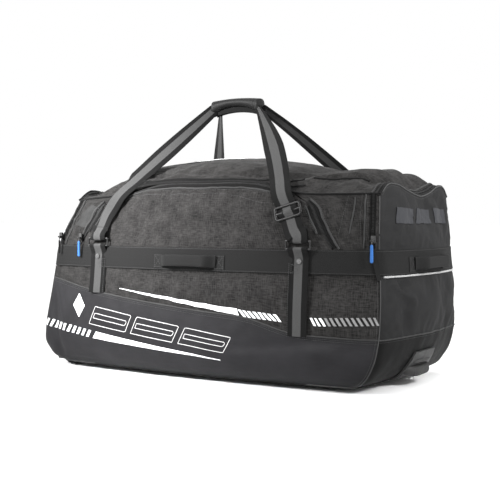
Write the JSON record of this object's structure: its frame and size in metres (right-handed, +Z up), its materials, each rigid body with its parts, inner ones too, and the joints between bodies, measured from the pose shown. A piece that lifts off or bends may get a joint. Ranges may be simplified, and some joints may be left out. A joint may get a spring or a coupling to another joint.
{
  "type": "hockey equipment bag",
  "caption": "Wheeled ice hockey equipment bag with a front mouth flap, end pocket flaps, sliding zips, two-loop carry handle and grab handles.",
  "frame": {"origin": "on the ground under the middle of the bag", "axes": "+Z up; +X along the bag towards the end with the moulded lifting handle, -X to the wheels; -Y to the front with the main zip"},
  "size_m": [1.0503, 0.5518, 0.689],
  "materials": {
    "coated_fabric": "satin",
    "woven_fabric": "matte",
    "end_fabric": "matte",
    "kick_fabric": "satin",
    "webbing": "matte",
    "piping": "satin",
    "zip_tape": "matte",
    "base_board": "matte",
    "lining": "matte",
    "moulding": "matte",
    "steel": "satin",
    "rubber_foot": "matte",
    "grip": "satin",
    "buckle": "satin",
    "zip_slider": "satin",
    "blue_pull": "matte",
    "black_pull": "matte",
    "tyre": "matte",
    "hub": "matte"
  },
  "bodies": {
    "bag": {"bottom_panel": "coated_fabric", "base_board": "base_board", "front_foot_panel": "coated_fabric", "back_foot_panel": "coated_fabric", "front_side_panel": "woven_fabric", "back_side_panel": "woven_fabric", "right_kick_panel": "kick_fabric", "left_kick_panel": "kick_fabric", "right_end_panel": "end_fabric", "left_end_panel": "end_fabric", "right_fold_strip": "end_fabric", "left_fold_strip": "end_fabric", "front_fold_strip": "woven_fabric", "front_left_gusset": "woven_fabric", "front_right_gusset": "woven_fabric", "back_upper_panel": "woven_fabric", "top_panel": "woven_fabric", "front_band": "webbing", "back_band": "webbing", "right_band": "webbing", "left_band": "webbing", "reflective_piping": "piping", "main_zip_fixed_side": "zip_tape", "pocket_zips": "zip_tape", "lower_straps": "webbing", "strap_rings": "steel", "strap_rivets": "steel", "front_grab_handle": "webbing", "back_grab_handle": "webbing", "right_grab_handle": "webbing", "left_grab_handle": "webbing", "left_divider": "lining", "right_divider": "lining", "front_wheel_housing": "moulding", "back_wheel_housing": "moulding", "wheel_axles": "steel", "lift_handle": "moulding", "rubber_feet": "rubber_foot"},
    "front_loop": {"front_left_carry_strap": "webbing", "front_right_carry_strap": "webbing", "front_grip_half": "grip", "strap_adjuster": "buckle"},
    "back_loop": {"back_left_carry_strap": "webbing", "back_right_carry_strap": "webbing", "back_grip_half": "grip"},
    "main_flap": {"main_flap": "woven_fabric", "main_zip_flap_side": "zip_tape"},
    "right_pocket_flap": {"right_pocket_flap": "end_fabric"},
    "left_pocket_flap": {"left_pocket_flap": "end_fabric"},
    "main_slider": {"main_slider": "zip_slider"},
    "main_pull": {"main_pull": "blue_pull"},
    "right_pocket_slider": {"right_pocket_slider": "zip_slider"},
    "right_pocket_pull": {"right_pocket_pull": "blue_pull"},
    "left_pocket_slider": {"left_pocket_slider": "zip_slider"},
    "left_pocket_pull": {"left_pocket_pull": "black_pull"},
    "front_wheel": {"front_tyre": "tyre", "front_hub": "hub"},
    "back_wheel": {"back_tyre": "tyre", "back_hub": "hub"}
  },
  "joints": [
    {"name": "front_handle_swing", "type": "hinge", "parent": "bag", "child": "front_loop", "pos_m": [0, -0.23923, 0.335], "axis": [1, 0, 0], "range_deg": [0, 140]},
    {"name": "back_handle_swing", "type": "hinge", "parent": "bag", "child": "back_loop", "pos_m": [0, 0.23923, 0.335], "axis": [-1, 0, 0], "range_deg": [0, 140]},
    {"name": "main_flap_swing", "type": "hinge", "parent": "bag", "child": "main_flap", "pos_m": [0, -0.2435, 0.3485], "axis": [1, 0, 0], "range_deg": [0, 105]},
    {"name": "right_pocket_swing", "type": "hinge", "parent": "bag", "child": "right_pocket_flap", "pos_m": [0.496, 0, 0.3485], "axis": [0, 1, 0], "range_deg": [0, 95]},
    {"name": "left_pocket_swing", "type": "hinge", "parent": "bag", "child": "left_pocket_flap", "pos_m": [-0.4745, 0, 0.3485], "axis": [0, -1, 0], "range_deg": [0, 95]},
    {"name": "main_zip_slide", "type": "slide", "parent": "bag", "child": "main_slider", "axis": [0.5291, 0.128, 0.8389], "range_m": [0, 0.062]},
    {"name": "main_pull_swing", "type": "hinge", "parent": "main_slider", "child": "main_pull", "pos_m": [-0.36154, -0.23143, 0.335], "axis": [-1, 0, 0], "range_deg": [0, 150]},
    {"name": "right_zip_slide", "type": "slide", "parent": "bag", "child": "right_pocket_slider", "axis": [-0.0275, 0.1174, 0.9927], "range_m": [0, 0.085]},
    {"name": "right_pull_swing", "type": "hinge", "parent": "right_pocket_slider", "child": "right_pocket_pull", "pos_m": [0.45956, -0.21734, 0.337], "axis": [-1, 0, 0], "range_deg": [0, 150]},
    {"name": "left_zip_slide", "type": "slide", "parent": "bag", "child": "left_pocket_slider", "axis": [0.4352, 0.105, 0.8942], "range_m": [0, 0.08]},
    {"name": "left_pull_swing", "type": "hinge", "parent": "left_pocket_slider", "child": "left_pocket_pull", "pos_m": [-0.44225, -0.21734, 0.337], "axis": [-1, 0, 0], "range_deg": [0, 150]},
    {"name": "front_wheel_spin", "type": "hinge", "parent": "bag", "child": "front_wheel", "pos_m": [-0.43, -0.168, 0.043], "axis": [0, 1, 0], "continuous": true},
    {"name": "back_wheel_spin", "type": "hinge", "parent": "bag", "child": "back_wheel", "pos_m": [-0.43, 0.168, 0.043], "axis": [0, 1, 0], "continuous": true}
  ],
  "couplings": [
    {"joint": "main_flap_swing", "follows": "front_handle_swing", "ratio": 0.75}
  ]
}
